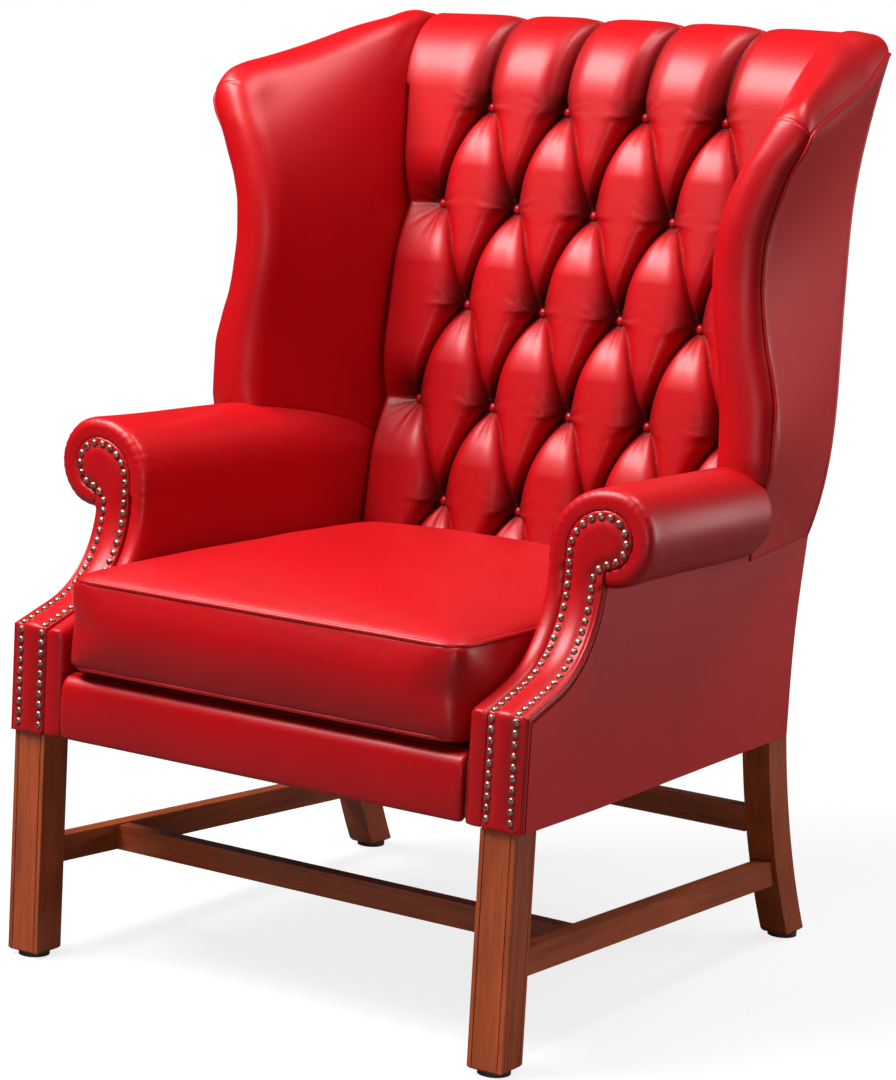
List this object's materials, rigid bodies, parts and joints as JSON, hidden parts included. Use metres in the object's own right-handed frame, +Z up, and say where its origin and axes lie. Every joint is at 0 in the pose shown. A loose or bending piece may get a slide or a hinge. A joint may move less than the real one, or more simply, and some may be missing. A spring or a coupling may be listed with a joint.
{
  "type": "wing chair",
  "caption": "Tall wing chair in buttoned red leather with scroll arms, nailed arm fronts, a loose box cushion and square wooden legs joined by stretchers.",
  "frame": {"origin": "on the floor, under the middle of the chair's overall width and depth", "axes": "+X towards the sitter's left, +Y from the front to the back, +Z up"},
  "size_m": [0.857, 0.814, 1.168],
  "materials": {
    "red_leather": "glossy, finely grained",
    "side_leather": "satin, duller outside panels",
    "mahogany": "satin polish",
    "frame_wood": "unpolished",
    "webbing": "matte",
    "under_cloth": "matte",
    "brass": "aged",
    "foot_glide": "matte"
  },
  "bodies": {
    "chair": {"front_leg_left": "mahogany", "front_leg_right": "mahogany", "rear_leg_left": "mahogany", "rear_leg_right": "mahogany", "side_stretcher_left": "mahogany", "side_stretcher_right": "mahogany", "cross_stretcher": "mahogany", "rear_stretcher": "mahogany", "foot_glides": "foot_glide", "front_seat_rail": "frame_wood", "rear_seat_rail": "frame_wood", "side_seat_rail_left": "frame_wood", "side_seat_rail_right": "frame_wood", "corner_blocks": "frame_wood", "back_post_left": "frame_wood", "back_post_right": "frame_wood", "crest_rail": "frame_wood", "lower_back_rail": "frame_wood", "arm_rail_left": "frame_wood", "arm_rail_right": "frame_wood", "arm_stump_left": "frame_wood", "arm_stump_right": "frame_wood", "wing_stile_left": "frame_wood", "wing_stile_right": "frame_wood", "wing_rail_left": "frame_wood", "wing_rail_right": "frame_wood", "seat_webbing": "webbing", "back_lining": "webbing", "dust_cover": "under_cloth", "outside_arm_left": "side_leather", "outside_arm_right": "side_leather", "outside_wing_left": "side_leather", "outside_wing_right": "side_leather", "outside_back": "side_leather", "nail_trim_left": "brass", "nail_trim_right": "brass", "inside_back": "red_leather", "back_buttons": "red_leather", "arm_facing_left": "red_leather", "arm_facing_right": "red_leather", "facing_welt_left": "red_leather", "facing_welt_right": "red_leather", "arm_pad_left": "red_leather", "arm_pad_right": "red_leather", "wing_pad_left": "red_leather", "wing_pad_right": "red_leather", "front_border": "red_leather", "seat_deck": "red_leather"},
    "cushion": {"seat_cushion": "red_leather", "cushion_welts": "red_leather"}
  },
  "joints": [
    {"name": "cushion_lift", "type": "slide", "parent": "chair", "child": "cushion", "axis": [0, 0, 1], "range_m": [0, 0.12]}
  ]
}
